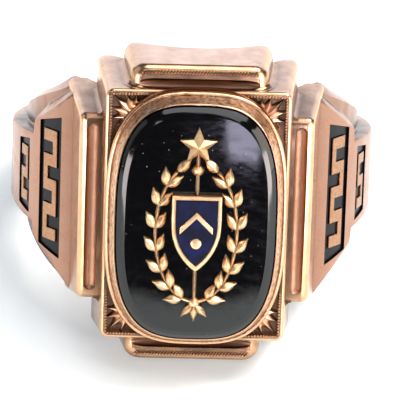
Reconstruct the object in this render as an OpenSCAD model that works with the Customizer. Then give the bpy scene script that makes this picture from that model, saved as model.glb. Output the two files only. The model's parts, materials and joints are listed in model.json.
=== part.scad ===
// Class ring lying on its side: cast gold body, black onyx tablet, applied crest and enamel.
// The ring is drawn with its finger hole along Z and its face towards -Y, and laid down at the end.
// In that upright frame x is across the face, n is the distance in front of the finger's axis
// (n = -y), and w is the distance along the finger (w = z).

/* [Finger hole] */
// Radius of the finger hole
bore_r = 9.9; // [9:0.05:10.6]

/* [Shank] */
// Thickness of the shank at its sides
side_wall = 1.9; // [1.6:0.05:2.4]
// Thickness of the shank at its back
back_wall = 1.6; // [1.2:0.05:1.9]
// Width of the shank at its back
back_w = 4.3; // [3.4:0.1:5.4]
// Width of the shank where it leaves the shoulders
side_w = 6; // [5.4:0.1:7]

/* [Shoulders] */
// Width of the shoulders beside the pilasters
shoulder_w = 13.2; // [12:0.1:14]
// Width of the shoulders at their ribs
rib_w = 7.8; // [6.4:0.1:8.2]
// Angle from the face to the outer side of each rib
rib_angle = 60.5; // [59.5:0.5:62]
// How far the inner rim stands out past the shoulder
rim_step = 0.4; // [0:0.05:0.6]
// Width of the inner rim at the sides of the finger hole
rim_side_w = 6.8; // [5.8:0.1:7.4]
// Thickness of the inner rim
rim_wall = 0.9; // [0.6:0.05:1.2]

/* [Enamel panels] */
// Depth of the panels
panel_depth = 0.5; // [0.35:0.05:0.7]
// How far the enamel lies below the gold
enamel_drop = 0.15; // [0.05:0.05:0.25]
// Gap round each piece of enamel
enamel_gap = 0.03; // [0.02:0.01:0.06]
// Width of each near panel, round the ring
near_panel_w = 2.2; // [1.8:0.05:2.4]
// Height of each near panel beside the head
near_panel_h = 9.4; // [8:0.1:10]
// Angle from the face to the middle of each near panel
near_panel_angle = 51.6; // [51:0.1:52.5]
// Width of each far panel, round the ring
far_panel_w = 1.7; // [1.4:0.05:1.9]
// Height of each far panel beside its rib
far_panel_h = 5; // [4:0.1:5.2]
// Angle from the face to the middle of each far panel
far_panel_angle = 67.6; // [67:0.1:70]
// Share of a panel's height that is left at its far side
panel_taper = 0.87; // [0.75:0.01:1]
// Gold bars in each near panel's fret
near_bars = 5; // [3:2:7]
// Gold bars in each far panel's fret
far_bars = 3; // [3:2:5]
// Share of a panel's width that its fret takes
fret_share = 0.62; // [0.45:0.01:0.7]

/* [Head] */
// Thickness of the head in front of the finger hole
head_t = 3.7; // [3.2:0.1:4.5]
// Width of the frame at its front
frame_w = 11.5; // [10.8:0.1:12]
// Height of the frame at its front, along the finger
frame_h = 16.2; // [15.6:0.1:16.6]
// Flare of the frame's sides towards the finger
frame_side_flare = 6.5; // [3:0.5:8]
// Flare of the frame's ends towards the finger
frame_end_flare = 8.6; // [4:0.1:10]
// Distance of the frame's back corners in front of the finger's axis
frame_root_n = 8.3; // [7.8:0.1:8.8]
// Width of the frame's rim round its corner panels
frame_rim = 0.32; // [0.2:0.02:0.5]
// Depth of the frame's corner panels
spandrel_depth = 0.45; // [0.3:0.05:0.7]

/* [Tabs] */
// Width of the tabs at their front
tab_w = 8.5; // [7:0.1:9.4]
// Height over both tabs at their front, along the finger
tab_h = 19.2; // [18:0.1:20]
// How far the tabs' fronts lie behind the frame's front
tab_back = 0.35; // [0.2:0.05:0.9]
// Flare of the tabs' sides towards the finger
tab_side_flare = 6; // [3:0.5:8]
// Flare of the tabs' ends towards the finger
tab_end_flare = 5.5; // [2:0.5:8]
// Distance of the tabs' back corners in front of the finger's axis
tab_root_n = 8.9; // [8.8:0.05:9.4]

/* [Pilasters] */
// Width over both pilasters at their front
pilaster_w = 14.6; // [14:0.1:15.2]
// Height of the pilasters at their front, along the finger
pilaster_h = 12; // [10.5:0.1:13]
// How far the pilasters' fronts lie behind the frame's front
pilaster_back = 1.4; // [1:0.05:1.9]
// Flare of the pilasters' sides towards the finger
pilaster_side_flare = 9; // [7:0.5:12]
// Flare of the pilasters' ends towards the finger
pilaster_end_flare = 11.5; // [6:0.5:13]
// Distance of the pilasters' back corners in front of the finger's axis
pilaster_root_n = 7; // [6.2:0.1:7.4]
// Radius of the flute in each pilaster
flute_r = 0.42; // [0.25:0.01:0.5]
// Share of a pilaster's height that its flute runs
flute_share = 0.92; // [0.6:0.01:0.96]

/* [Bezel] */
// Width of the bezel
bezel_w = 11.36; // [11.2:0.02:11.44]
// Height of the bezel, along the finger
bezel_h = 16.5; // [16:0.1:16.8]
// How far the bezel's outer edge stands in front of the frame
bezel_crest = 0.66; // [0.4:0.02:1]
// How far the bezel's lip stands in front of the frame
bezel_lip = 1.5; // [1.2:0.05:1.9]
// Thickness of the lip's edge
lip_w = 0.12; // [0.06:0.01:0.2]

/* [Stone] */
// Width of the stone inside the lip
stone_w = 10; // [9.4:0.05:10.3]
// Height of the stone inside the lip, along the finger
stone_h = 15.1; // [14.4:0.1:15.2]
// How squarely the outline of the stone and the bezel is rounded
oval_power = 3; // [2.4:0.1:3.6]
// Depth of the seat behind the frame's front
seat_depth = 1.1; // [0.6:0.05:1.6]
// Gap between the stone and its seat
stone_gap = 0.04; // [0.02:0.01:0.1]
// How far the stone's table stands in front of the lip
table_rise = 0.55; // [0.3:0.05:0.9]
// Width of the stone's bevelled edge
bevel_w = 0.5; // [0.3:0.05:0.8]
// How far the table curves down to its edge
crown = 0.16; // [0.05:0.01:0.3]

/* [Crest] */
// Width of the laurel wreath, to the outside of its stems
wreath_w = 5.3; // [4.6:0.1:5.6]
// Height of the laurel wreath, to the outside of its stems
wreath_h = 9.2; // [8:0.1:9.8]
// How far the wreath's middle lies below the stone's middle
wreath_low = 0.4; // [0.2:0.05:0.8]
// Thickness of the wreath's leaves
leaf_t = 0.42; // [0.25:0.02:0.6]
// Length of each leaf
leaf_l = 1.25; // [0.9:0.05:1.4]
// Width of each leaf
leaf_w = 0.46; // [0.3:0.02:0.55]
// Pairs of leaves on each branch
leaf_pairs = 7; // [5:1:9]
// Width of the shield
shield_w = 3.1; // [2.5:0.05:3.3]
// Height of the shield
shield_h = 4.9; // [4:0.1:5.2]
// Thickness of the shield
shield_t = 0.6; // [0.45:0.05:0.8]
// Width of the shield's gold rim
shield_rim = 0.26; // [0.16:0.02:0.36]
// Depth of the enamel field in the shield
field_depth = 0.3; // [0.2:0.02:0.4]
// Radius of the star's points
star_r = 1.2; // [0.8:0.05:1.3]
// Thickness of the star
star_t = 0.65; // [0.4:0.05:0.8]
// Radius of the peg that holds the crest on the stone
peg_r = 0.6; // [0.4:0.05:0.8]
// Length of the peg
peg_l = 1; // [0.6:0.1:1.3]
// Gap round the peg and under the crest
crest_gap = 0.02; // [0.01:0.01:0.05]

/* [Hidden] */

ROUND = 128;      // steps of a full circle on the large rounds
SMALL_ROUND = 40; // steps of a full circle on the small rounds
OVAL_STEPS = 72;  // corners of the stone's and the bezel's outline
REACH = 60;       // longer than any part of the ring
SINK = 0.1;       // how far raised ornament is rooted in what carries it
CREST_ROUND = 0.14; // rounding of the bezel's outer edge
GIRDLE_RISE = 0.2;  // share of the table's rise where the stone's bevel starts
FAN_SPREAD = 27;    // turn from one leaf of a corner fan to the next
STEM_W = 0.22;      // width of the wreath's stems and of the bar between the crest's parts
STEM_T = 0.3;       // their thickness
STEM_STEP = 10;     // turn between the points along a stem
WREATH_START = 16;  // turn from the wreath's foot to its first leaves
WREATH_END = 150;   // turn from the wreath's foot to its tips
LEAF_SPREAD = 30;   // turn of the leaves away from their stem
RIBBON_SPREAD = 42; // turn between the three leaves at the wreath's foot
KNOT_R = 0.4;       // radius of the round knots
STAR_WAIST = 0.45;  // the star's inner radius as a share of its outer one
STAR_RISE = 0.95;   // height of the star's middle above the wreath's oval
SHIELD_CURVE = 0.62; // share of the shield's height that is curved
POINT_RIM = 1.6;    // height of the rim at the shield's point, in widths of the rim
CHEVRON_BAR = 0.14; // height of the chevron's bar as a share of the shield's width
ROUNDEL_R = 0.11;   // the roundel's radius as a share of the shield's width
ROUNDEL_LOW = 0.12; // how far it lies below the shield's middle, as a share of its height
FAN_LONG = 1.22;    // length of a corner fan's middle leaf, in lengths of the fan
FAN_FALL = 0.13;    // how much shorter each next leaf is
PAST = 1;           // how far a cut runs past what it cuts

// Sections of the stone's crowned table: share of the table's size, share of the crown's drop
CROWN_SECTIONS = [[1, 1], [0.93, 0.55], [0.82, 0.2], [0.66, 0]];

GOLD = "#D9A57F";
BLACK = "#15141A";
BLUE = "#1B2350";

// Planes of the head, as distances in front of the finger's axis
frame_n = bore_r + head_t;
tab_n = frame_n - tab_back;
pilaster_n = frame_n - pilaster_back;
seat_n = frame_n - seat_depth;
lip_n = frame_n + bezel_lip;
table_n = lip_n + table_rise;
shoulder_root_n = bore_r / 4;
fan_l = frame_w / 8;

// Round parts
outer_r = bore_r + side_wall;
rim_r = bore_r + rim_wall;
panel_floor_r = outer_r - panel_depth;
enamel_r = outer_r - enamel_drop;

// Where a shoulder starts to taper, just inside its pilaster, and where its rib ends
shoulder_n = meets_round(pilaster_w, pilaster_n, pilaster_side_flare, outer_r);
shoulder_x = half_at(pilaster_w, pilaster_n, pilaster_side_flare, shoulder_n) - SINK;
rib_x = outer_r * sin(rib_angle);
rib_n = outer_r * cos(rib_angle);

// Where the inner rim has run down to the shank's width
rim_end_n = -bore_r / 3;

// The pose of the ring on its side: it stands on the lower tab's back corners and on the
// lower edge of the shank's back, so both are brought to the same height
tab_corner_w = half_at(tab_h, tab_n, tab_end_flare, tab_root_n);
back_n = bore_r + back_wall;
lean = atan2(tab_corner_w - back_w / 2, tab_root_n + back_n);
rest_z = tab_corner_w * cos(lean) - tab_root_n * sin(lean);
front_y = -table_n * cos(lean) - (stone_h / 2 - bevel_w) * sin(lean);
back_y = back_n * cos(lean) + back_w / 2 * sin(lean);
rest_y = -(front_y + back_y) / 2;

// Half of a flared block's size at distance n, from its size at its front
function half_at(size, front, flare, n) = size / 2 + (front - n) * tan(flare);

// Distance n where the flared side of a block meets a round of radius r about the finger
function meets_round(size, front, flare, r) =
    let (k = tan(flare), a = size / 2 + front * k)
    (a * k + sqrt(a * a * k * k - (1 + k * k) * (a * a - r * r))) / (1 + k * k);

// Outline of the stone and of all that surrounds it, a rectangle rounded to bowed sides
function oval(width, height) = [
    for (i = [0 : OVAL_STEPS - 1])
        let (
            a = 360 * i / OVAL_STEPS,
            c = abs(2 * cos(a) / width),
            s = abs(2 * sin(a) / height),
            r = pow(pow(c, oval_power) + pow(s, oval_power), -1 / oval_power)
        )
        [r * cos(a), r * sin(a)]
];

// The same outline as a ring of points at distance n
function oval_ring(width, height, n) = [for (p = oval(width, height)) [p.x, p.y, n]];

// Joins rings of points, all of the same number, into a solid with flat ends
module loft(rings) {
    count = len(rings);
    sides = len(rings[0]);
    walls = [
        for (j = [0 : count - 2], i = [0 : sides - 1])
            let (k = j + 1, m = (i + 1) % sides)
            each [
                [j * sides + i, k * sides + i, j * sides + m],
                [j * sides + m, k * sides + i, k * sides + m]
            ]
    ];
    bottom = [for (i = [0 : sides - 1]) i];
    top = [for (i = [sides - 1 : -1 : 0]) (count - 1) * sides + i];
    polyhedron(points = [for (ring = rings) each ring], faces = concat(walls, [bottom], [top]));
}

// Stands what is drawn flat, x across and y along the finger, on the face at distance n
module on_face(n) {
    rotate([90, 0, 0])
        translate([0, 0, n])
            children();
}

// Does the same at an angle round the ring, to the right of the face
module on_side(angle) {
    rotate([0, 0, angle])
        on_face(0)
            children();
}

// A prism across the ring, with its outline given in n and w
module side_prism(outline) {
    rotate([90, 0, -90])
        linear_extrude(REACH, center = true)
            polygon(outline);
}

// A prism along the finger, with its outline given in x and n
module plan_prism(outline) {
    mirror([0, 1, 0])
        linear_extrude(REACH, center = true)
            polygon(outline);
}

// A block with a flat front and back that grows towards the finger on all four sides
module flared_block(width, height, front, back, side_flare, end_flare) {
    back_x = half_at(width, front, side_flare, back);
    back_half = half_at(height, front, end_flare, back);
    intersection() {
        plan_prism([[-width / 2, front], [width / 2, front], [back_x, back], [-back_x, back]]);
        side_prism([[front, -height / 2], [front, height / 2], [back, back_half], [back, -back_half]]);
    }
}

// A solid round about the finger
module round_bar(r, height = REACH) {
    cylinder(r = r, h = height, center = true, $fn = ROUND);
}

// The shank, which narrows from the shoulders to its back
module shank() {
    intersection() {
        round_bar(outer_r, side_w);
        translate([0, back_wall - side_wall, 0])
            round_bar(outer_r, side_w);
        side_prism([
            [outer_r, -side_w / 2], [outer_r, side_w / 2],
            [rib_n, side_w / 2], [-bore_r / 2, back_w / 2], [-outer_r, back_w / 2],
            [-outer_r, -back_w / 2], [-bore_r / 2, -back_w / 2], [rib_n, -side_w / 2]
        ]);
    }
}

// Outline of the shoulders in x and w out to end_x, with their edges moved out by step
function shoulder_outline(step, end_x) =
    let (
        near = shoulder_w / 2 + step,
        fall = (shoulder_w - rib_w) / 2 / (rib_x - shoulder_x),
        far = near - fall * (end_x - shoulder_x),
        upper = [[end_x, far], [shoulder_x, near], [-shoulder_x, near], [-end_x, far]]
    )
    concat(upper, [for (i = [3 : -1 : 0]) [upper[i].x, -upper[i].y]]);

// The shoulders, which taper away from the head
module shoulders() {
    intersection() {
        round_bar(outer_r);
        on_face(shoulder_root_n)
            linear_extrude(outer_r)
                polygon(shoulder_outline(0, rib_x));
    }
}

// The inner rim, which stands out past the shoulders beside the finger and runs in under the
// pilasters' ends
module inner_rim() {
    near = shoulder_w / 2 + rim_step;
    under = half_at(pilaster_h, pilaster_n, pilaster_end_flare, outer_r) - SINK;
    intersection() {
        round_bar(rim_r);
        on_face(rim_end_n)
            linear_extrude(2 * outer_r)
                polygon(shoulder_outline(rim_step, rim_r));
        side_prism([
            [rim_end_n, back_w / 2], [0, rim_side_w / 2], [rib_n, near],
            [pilaster_root_n, near], [outer_r, under], [outer_r, -under],
            [pilaster_root_n, -near], [rib_n, -near], [0, -rim_side_w / 2],
            [rim_end_n, -back_w / 2]
        ]);
    }
}

// Outline of an enamel panel seen square on, shrunk by gap all round
function panel_outline(width, height, gap) =
    let (x = width / 2 - gap, near = height / 2 - gap, far = height * panel_taper / 2 - gap)
    [[-x, -near], [x, -far], [x, far], [-x, near]];

// The room of a panel outside radius r, shrunk by gap all round
module panel_room(width, height, angle, r, gap) {
    difference() {
        on_side(angle)
            linear_extrude(outer_r + PAST)
                polygon(panel_outline(width, height, gap));
        round_bar(r);
    }
}

// A fret of level bars joined at alternate ends, grown by gap, out to radius top_r
module fret(width, height, angle, bars, top_r, gap) {
    across = width * fret_share;
    span = height * panel_taper - (width - across);
    pitch = span / (bars - 0.5);
    bar = pitch / 2;
    difference() {
        intersection() {
            on_side(angle)
                union() {
                    for (i = [0 : bars - 1])
                        translate([-across / 2 - gap, i * pitch - span / 2 - gap, 0])
                            cube([across + 2 * gap, bar + 2 * gap, top_r + PAST]);
                    for (i = [0 : bars - 2]) {
                        side = i % 2 == 0 ? 1 : -1;
                        post = across / 3;
                        translate([side * (across - post) / 2 - post / 2 - gap, i * pitch - span / 2, 0])
                            cube([post + 2 * gap, pitch + bar / 2, top_r + PAST]);
                    }
                }
            round_bar(top_r);
        }
        round_bar(panel_floor_r - SINK, REACH + PAST);
    }
}

module near_fret(top_r, gap) {
    fret(near_panel_w, near_panel_h, near_panel_angle, near_bars, top_r, gap);
}

module far_fret(top_r, gap) {
    fret(far_panel_w, far_panel_h, far_panel_angle, far_bars, top_r, gap);
}

// The sunk panels of the right shoulder
module panels() {
    panel_room(near_panel_w, near_panel_h, near_panel_angle, panel_floor_r, 0);
    panel_room(far_panel_w, far_panel_h, far_panel_angle, panel_floor_r, 0);
}

// The enamel of the right shoulder's near panel, between its walls and its fret
module near_enamel() {
    difference() {
        intersection() {
            panel_room(near_panel_w, near_panel_h, near_panel_angle, panel_floor_r + enamel_gap, enamel_gap);
            round_bar(enamel_r);
        }
        near_fret(outer_r + PAST, enamel_gap);
    }
}

// The enamel of the right shoulder's far panel
module far_enamel() {
    difference() {
        intersection() {
            panel_room(far_panel_w, far_panel_h, far_panel_angle, panel_floor_r + enamel_gap, enamel_gap);
            round_bar(enamel_r);
        }
        far_fret(outer_r + PAST, enamel_gap);
    }
}

// The flute down the front of each pilaster, with round ends
module flutes() {
    x = (frame_w + pilaster_w) / 4;
    half = pilaster_h * flute_share / 2 - flute_r;
    for (side = [-1, 1])
        translate([side * x, -pilaster_n, 0]) {
            cylinder(r = flute_r, h = 2 * half, center = true, $fn = SMALL_ROUND);
            for (end = [-1, 1])
                translate([0, 0, end * half])
                    sphere(r = flute_r, $fn = SMALL_ROUND);
        }
}

// A pointed leaf of two arcs, from the origin along +Y
module leaf(length, width, t) {
    r = (length * length + width * width) / (4 * width);
    intersection() {
        translate([r - width / 2, length / 2, 0])
            cylinder(r = r, h = t, $fn = SMALL_ROUND);
        translate([width / 2 - r, length / 2, 0])
            cylinder(r = r, h = t, $fn = SMALL_ROUND);
    }
}

// The sunk corner panels, all round the bezel
module spandrels() {
    on_face(frame_n - spandrel_depth)
        difference() {
            translate([frame_rim - frame_w / 2, frame_rim - frame_h / 2, 0])
                cube([frame_w - 2 * frame_rim, frame_h - 2 * frame_rim, spandrel_depth + PAST]);
            linear_extrude(spandrel_depth + PAST)
                polygon(oval(bezel_w - SINK, bezel_h - SINK));
        }
}

// A fan of leaves in each corner panel, spreading out from the bezel
module palmettes() {
    corner_x = frame_w / 2 - frame_rim;
    corner_w = frame_h / 2 - frame_rim;
    for (side = [-1, 1], end = [-1, 1])
        on_face(frame_n - spandrel_depth - SINK)
            translate([side * (corner_x - fan_l), end * (corner_w - fan_l), 0])
                for (k = [-2 : 2])
                    rotate(end * side * (FAN_SPREAD * k - 45) + (end > 0 ? 0 : 180))
                        leaf(fan_l * (FAN_LONG - FAN_FALL * abs(k)), fan_l / 4, spandrel_depth + SINK / 2);
}

// The bezel's wall, which slopes up to the lip, solid until the seat is cut
module bezel() {
    crest_n = frame_n + bezel_crest;
    on_face(0)
        loft([
            oval_ring(bezel_w, bezel_h, frame_n - spandrel_depth - SINK),
            oval_ring(bezel_w, bezel_h, crest_n - CREST_ROUND),
            oval_ring(bezel_w - 2 * CREST_ROUND, bezel_h - 2 * CREST_ROUND, crest_n),
            oval_ring(stone_w + 2 * lip_w, stone_h + 2 * lip_w, lip_n)
        ]);
}

// The cast ring, drawn upright
module upright_ring() {
    difference() {
        union() {
            shank();
            shoulders();
            inner_rim();
            flared_block(frame_w, frame_h, frame_n, frame_root_n, frame_side_flare, frame_end_flare);
            flared_block(tab_w, tab_h, tab_n, tab_root_n, tab_side_flare, tab_end_flare);
            flared_block(
                pilaster_w, pilaster_h, pilaster_n, pilaster_root_n,
                pilaster_side_flare, pilaster_end_flare
            );
            bezel();
        }
        round_bar(bore_r, 2 * REACH);
        on_face(seat_n)
            linear_extrude(REACH)
                polygon(oval(stone_w, stone_h));
        spandrels();
        flutes();
        for (side = [0, 1])
            mirror([side, 0, 0])
                panels();
    }
    palmettes();
    for (side = [0, 1])
        mirror([side, 0, 0]) {
            near_fret(outer_r, 0);
            far_fret(outer_r, 0);
        }
}

// The stone, drawn upright: a tablet with a bevelled edge and a table that is crowned at its edge,
// bored for the crest's peg
module upright_stone() {
    width = stone_w - 2 * stone_gap;
    height = stone_h - 2 * stone_gap;
    table_w = width - 2 * bevel_w;
    table_h = height - 2 * bevel_w;
    difference() {
        on_face(0)
            loft([
                oval_ring(width, height, seat_n + stone_gap),
                oval_ring(width, height, lip_n + GIRDLE_RISE * table_rise),
                for (c = CROWN_SECTIONS)
                    oval_ring(table_w * c[0], table_h * c[0], table_n - crown * c[1])
            ]);
        on_face(table_n - peg_l - crest_gap)
            cylinder(r = peg_r + crest_gap, h = REACH, $fn = SMALL_ROUND);
    }
}

// A point on the wreath's oval at an angle from its foot, on the side given, moved out by step
function wreath_point(angle, side, step) = [
    side * (wreath_w / 2 + step) * sin(angle),
    -wreath_low - (wreath_h / 2 + step) * cos(angle)
];

// Direction in which the wreath's stem runs there, as a turn from +Y
function wreath_turn(angle, side) =
    -side * atan2(wreath_w * cos(angle), wreath_h * sin(angle));

// One stem of the wreath with its leaves, on the side given
module branch(side) {
    linear_extrude(STEM_T)
        polygon([
            for (a = [0 : STEM_STEP : WREATH_END]) wreath_point(a, side, 0),
            for (a = [WREATH_END : -STEM_STEP : 0]) wreath_point(a, side, -STEM_W)
        ]);
    for (i = [0 : leaf_pairs - 1], lean_out = [-1, 1]) {
        a = WREATH_START + i * (WREATH_END - WREATH_START) / leaf_pairs;
        translate(wreath_point(a, side, -STEM_W / 2))
            rotate(wreath_turn(a, side) + lean_out * LEAF_SPREAD)
                leaf(leaf_l, leaf_w, leaf_t);
    }
    translate(wreath_point(WREATH_END, side, -STEM_W / 2))
        rotate(wreath_turn(WREATH_END, side))
            leaf(leaf_l, leaf_w, leaf_t);
}

// A shield with a flat top and curved sides that meet below, its middle at the origin
module shield(width, height, t) {
    arc_h = SHIELD_CURVE * height;
    r = (arc_h * arc_h + width * width / 4) / width;
    shoulder_y = arc_h - height / 2;
    translate([-width / 2, shoulder_y - SINK, 0])
        cube([width, height / 2 - shoulder_y + SINK, t]);
    intersection() {
        translate([r - width / 2, shoulder_y, 0])
            cylinder(r = r, h = t, $fn = ROUND);
        translate([width / 2 - r, shoulder_y, 0])
            cylinder(r = r, h = t, $fn = ROUND);
        translate([-width / 2, shoulder_y - arc_h, 0])
            cube([width, arc_h, t]);
    }
}

// The field of the shield, shrunk by gap
module field(gap, t) {
    rim = shield_rim + gap;
    translate([0, (POINT_RIM - 1) * rim / 2, 0])
        shield(shield_w - 2 * rim, shield_h - (1 + POINT_RIM) * rim, t);
}

// The chevron and the roundel that stand in the field, grown by gap
module charges(gap, t) {
    x = shield_w / 2 - 2 * shield_rim + gap;
    bar = shield_w * CHEVRON_BAR;
    spread = gap * sqrt(2);
    linear_extrude(t)
        polygon([
            [-x, -spread], [0, x - spread], [x, -spread],
            [x, bar + spread], [0, x + bar + spread], [-x, bar + spread]
        ]);
    translate([0, -shield_h * ROUNDEL_LOW, 0])
        cylinder(r = shield_w * ROUNDEL_R + gap, h = t, $fn = SMALL_ROUND);
}

// A star of five points, one of them up
module star(r, t) {
    linear_extrude(t)
        polygon([
            for (i = [0 : 9])
                let (d = i % 2 == 0 ? r : r * STAR_WAIST)
                [d * cos(90 + 36 * i), d * sin(90 + 36 * i)]
        ]);
}

// Distances of the crest's parts above and below the stone's middle
shield_y = -wreath_low;
star_y = wreath_h / 2 + STAR_RISE - wreath_low;
knot_y = -wreath_low - wreath_h / 2;

// The crest, drawn upright: a shield in a laurel wreath under a star, and its peg
module upright_crest() {
    on_face(table_n + crest_gap) {
        difference() {
            translate([0, shield_y, 0])
                shield(shield_w, shield_h, shield_t);
            translate([0, shield_y, shield_t - field_depth])
                field(0, shield_t);
        }
        translate([0, shield_y, 0])
            charges(0, shield_t);
        for (side = [-1, 1])
            branch(side);
        translate([0, star_y, 0])
            star(star_r, star_t);
        translate([-STEM_W / 2, knot_y, 0])
            cube([STEM_W, star_y - knot_y, STEM_T]);
        translate([0, knot_y, 0])
            cylinder(r = KNOT_R, h = leaf_t, $fn = SMALL_ROUND);
        translate([0, (shield_y + shield_h / 2 + star_y) / 2, 0])
            cylinder(r = KNOT_R, h = leaf_t, $fn = SMALL_ROUND);
        for (k = [-1 : 1])
            translate([0, knot_y, 0])
                rotate(180 + k * RIBBON_SPREAD)
                    leaf(leaf_l, leaf_w, leaf_t);
    }
    on_face(table_n - peg_l)
        cylinder(r = peg_r, h = peg_l + crest_gap + SINK, $fn = SMALL_ROUND);
}

// The enamel in the shield's field, drawn upright
module upright_field() {
    on_face(table_n + crest_gap + shield_t - field_depth + enamel_gap)
        difference() {
            translate([0, shield_y, 0])
                field(enamel_gap, field_depth - 2 * enamel_gap);
            translate([0, shield_y, -SINK])
                charges(enamel_gap, shield_t);
        }
}

// Lays the upright ring down on its side
module laid_down() {
    translate([0, rest_y, rest_z])
        rotate([-lean, 0, 0])
            children();
}

module ring_body() { color(GOLD) laid_down() upright_ring(); }
module stone() { color(BLACK) laid_down() upright_stone(); }
module crest() { color(GOLD) laid_down() upright_crest(); }
module crest_enamel() { color(BLUE) laid_down() upright_field(); }
module enamel_left_near() { color(BLACK) laid_down() mirror([1, 0, 0]) near_enamel(); }
module enamel_left_far() { color(BLACK) laid_down() mirror([1, 0, 0]) far_enamel(); }
module enamel_right_near() { color(BLACK) laid_down() near_enamel(); }
module enamel_right_far() { color(BLACK) laid_down() far_enamel(); }

ring_body();
stone();
crest();
crest_enamel();
enamel_left_near();
enamel_left_far();
enamel_right_near();
enamel_right_far();
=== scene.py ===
"""A class ring lying on its side: the looks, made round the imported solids."""

import json
import math
from types import SimpleNamespace

import bmesh
import bpy
from mathutils import Matrix, Quaternion, Vector, noise


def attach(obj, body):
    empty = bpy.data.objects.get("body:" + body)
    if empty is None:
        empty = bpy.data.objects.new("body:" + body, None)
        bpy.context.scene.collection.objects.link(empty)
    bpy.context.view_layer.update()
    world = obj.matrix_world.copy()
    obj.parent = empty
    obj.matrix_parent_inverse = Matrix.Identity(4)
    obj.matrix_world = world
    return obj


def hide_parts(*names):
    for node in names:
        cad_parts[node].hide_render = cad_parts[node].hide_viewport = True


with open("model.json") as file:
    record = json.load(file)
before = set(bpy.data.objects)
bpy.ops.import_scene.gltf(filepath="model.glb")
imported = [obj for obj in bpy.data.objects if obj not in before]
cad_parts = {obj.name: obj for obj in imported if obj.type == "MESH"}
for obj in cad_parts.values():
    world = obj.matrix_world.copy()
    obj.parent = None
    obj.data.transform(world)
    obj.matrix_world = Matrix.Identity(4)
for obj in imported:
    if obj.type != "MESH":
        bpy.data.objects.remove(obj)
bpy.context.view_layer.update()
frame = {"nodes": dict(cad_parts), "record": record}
BORE = next(m for m in frame["record"]["mounts"] if m["name"] == "finger_bore")

bl_info = {
    "name": "Class Ring",
    "version": (1, 0, 0),
    "blender": (4, 5, 0),
    "location": "View3D > Sidebar > Class Ring",
    "description": "Dresses the class ring's solids as worn gold, onyx and enamel",
    "category": "Object",
}

MM = 0.001
# Everything is modelled in millimetres in the frame of the ring's face: x across the face, y along
# the finger and z out of the face from the finger's axis. POSE takes it to the resting ring.
ALONG = Vector(BORE["axis"])
OUT = Vector((1, 0, 0)).cross(ALONG)
POSE = Matrix.Translation(BORE["pos_m"]) @ Matrix(((1, 0, 0), ALONG, OUT)).transposed().to_4x4()
POSE = POSE @ Matrix.Scale(MM, 4)
OVAL_STEPS = 288  # round the stone and the bezel
CREASE = math.radians(32)  # edges sharper than this stay crisp
PAST = 1.0  # how far a cutter runs past what it cuts
# Each block of the head grows towards the finger, by an angle in degrees at its sides and at its
# ends, and starts at a root inside the casting
FRAME_FLARE, FRAME_ROOT = (6.5, 8.6), 8.3
TAB_FLARE, TAB_ROOT = (6, 5.5), 8.9
PILASTER_FLARE, PILASTER_ROOT = (9, 11.5), 7.0
COVE_ROOT = 8.6  # where the coves beside the frame start
RIM_SLOPE = 4.24  # how fast the inner rim narrows past the shoulder, in mm to the radian
PANEL_TAPER = 0.87  # height of a panel's far end, as a share of its near end's
FRET_SHARE = 0.62  # width of a fret, as a share of its panel's
KNOT_Y, TIE_Y, STAR_Y = -5.0, 3.6, 5.15  # the crest's knot, tie and star along the stone


def length(name, value, note):
    """A length of the ring, given in millimetres."""
    return bpy.props.FloatProperty(
        name=name, default=value * MM, description=note, unit="LENGTH", precision=5
    )


def turn(name, value, note):
    """An angle of the ring, given in degrees."""
    return bpy.props.FloatProperty(
        name=name, default=math.radians(value), description=note, unit="ROTATION", subtype="ANGLE"
    )


def hue(name, value, note):
    """A colour, given as an sRGB hex value."""
    return bpy.props.StringProperty(name=name, default=value, description=note)


class BodySizes(bpy.types.PropertyGroup):
    """Sizes of the cast gold body."""

    bore_r: length("Finger hole", BORE["dims"]["r_mm"], "Radius of the finger hole")
    side_wall: length("Shank sides", 1.9, "Thickness of the shank at its sides")
    back_wall: length("Shank back", 1.6, "Thickness of the shank at its back")
    back_w: length("Shank back width", 4.3, "Width of the shank at its back")
    side_w: length("Shank side width", 6.0, "Width of the shank where it leaves the shoulders")
    shoulder_w: length("Shoulder width", 13.2, "Width of the shoulders beside the pilasters")
    rib_w: length("Rib width", 7.8, "Width of the shoulders at their ribs")
    rib_angle: turn("Rib angle", 60.5, "Angle from the face to the outer side of each rib")
    rim_step: length("Rim step", 0.4, "How far the inner rim stands out past the shoulder")
    rim_side_w: length("Rim width", 6.8, "Width of the inner rim at the sides of the finger")
    rim_wall: length("Rim wall", 0.9, "Thickness of the inner rim")
    head_t: length("Head", 3.7, "Thickness of the head in front of the finger hole")
    frame_w: length("Frame width", 11.5, "Width of the frame at its front")
    frame_h: length("Frame height", 16.2, "Height of the frame at its front")
    frame_rim: length("Frame rim", 0.32, "Width of the rim round the corner panels")
    spandrel: length("Corner panel depth", 0.45, "Depth of the frame's corner panels")
    tab_w: length("Tab width", 8.5, "Width of the tabs at their front")
    tab_h: length("Tab height", 19.2, "Height over both tabs at their front")
    tab_back: length("Tab set back", 0.35, "How far the tabs lie behind the frame's front")
    pilaster_w: length("Pilaster width", 14.6, "Width over both pilasters at their front")
    pilaster_h: length("Pilaster height", 12.0, "Height of the pilasters at their front")
    pilaster_back: length("Pilaster set back", 1.4, "How far they lie behind the frame's front")
    flute_r: length("Flute", 0.42, "Radius of the flute in each pilaster")


class PanelSizes(bpy.types.PropertyGroup):
    """Sizes of the sunk panels on the shoulders."""

    depth: length("Panel depth", 0.5, "Depth of the panels")
    near_w: length("Near panel width", 2.2, "Width of each near panel, round the ring")
    near_h: length("Near panel height", 9.4, "Height of each near panel beside the head")
    near_angle: turn("Near panel angle", 51.6, "Angle from the face to the near panel's middle")
    far_w: length("Far panel width", 1.7, "Width of each far panel, round the ring")
    far_h: length("Far panel height", 5.0, "Height of each far panel beside its rib")
    far_angle: turn("Far panel angle", 67.6, "Angle from the face to the far panel's middle")


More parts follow.
